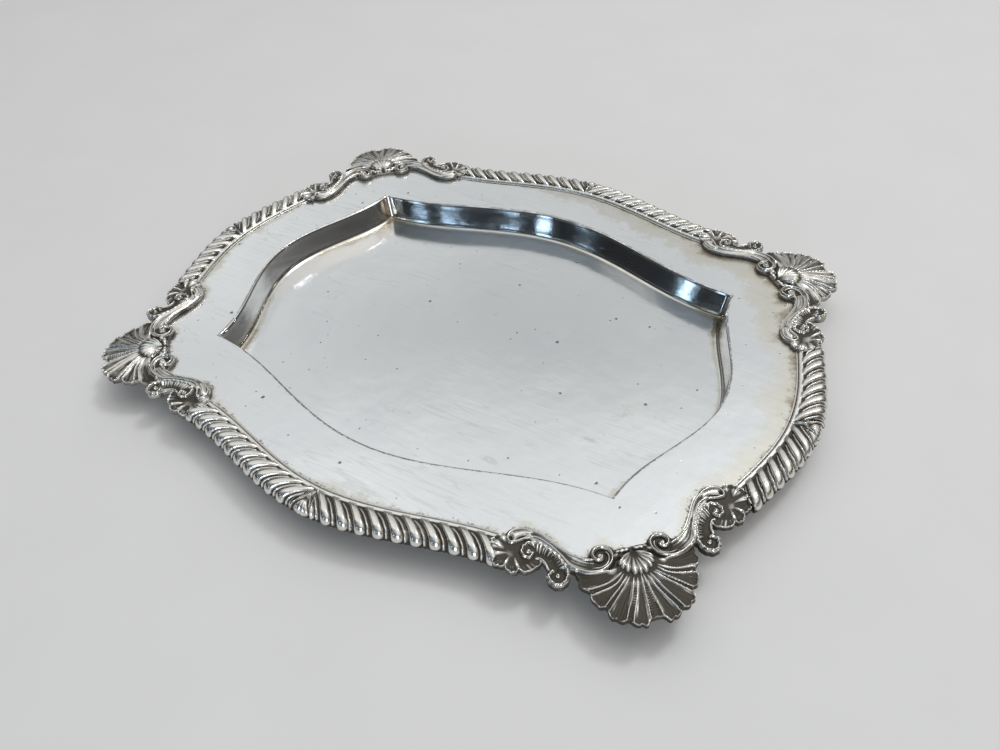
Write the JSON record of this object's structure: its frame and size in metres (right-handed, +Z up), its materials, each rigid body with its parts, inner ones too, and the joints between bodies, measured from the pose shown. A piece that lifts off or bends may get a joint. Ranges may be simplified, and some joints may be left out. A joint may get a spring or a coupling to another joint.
{
  "type": "salver",
  "caption": "Rectangular silver salver with a deep ogee-sided well, a flat flange, gadrooned edges and shell-and-scroll corner mounts.",
  "frame": {"origin": "centre of the underside of the well's floor, which is the face the salver rests on", "axes": "+Z up, out of the well; +X along the long side; the front long side is -Y"},
  "size_m": [0.3052, 0.2446, 0.0182],
  "materials": {
    "polished_silver": "polished silver, softened by fine scratches and a few tarnish specks",
    "struck_silver": "bright high points over grey-brown oxidised recesses",
    "lead_tin_solder": "dull cast grey"
  },
  "bodies": {
    "root": {"dish_body": "polished_silver", "corner_mount_front_left": "struck_silver", "corner_mount_front_right": "struck_silver", "corner_mount_back_left": "struck_silver", "corner_mount_back_right": "struck_silver", "gadroon_front_left": "struck_silver", "gadroon_front_right": "struck_silver", "gadroon_back_left": "struck_silver", "gadroon_back_right": "struck_silver", "gadroon_left_front": "struck_silver", "gadroon_left_back": "struck_silver", "gadroon_right_front": "struck_silver", "gadroon_right_back": "struck_silver", "leaf_front": "struck_silver", "leaf_back": "struck_silver", "leaf_left": "struck_silver", "leaf_right": "struck_silver", "corner_solder_front_left": "lead_tin_solder", "corner_solder_front_right": "lead_tin_solder", "corner_solder_back_left": "lead_tin_solder", "corner_solder_back_right": "lead_tin_solder", "gadroon_solder_front_left": "lead_tin_solder", "gadroon_solder_front_right": "lead_tin_solder", "gadroon_solder_back_left": "lead_tin_solder", "gadroon_solder_back_right": "lead_tin_solder", "gadroon_solder_left_front": "lead_tin_solder", "gadroon_solder_left_back": "lead_tin_solder", "gadroon_solder_right_front": "lead_tin_solder", "gadroon_solder_right_back": "lead_tin_solder"}
  },
  "joints": []
}
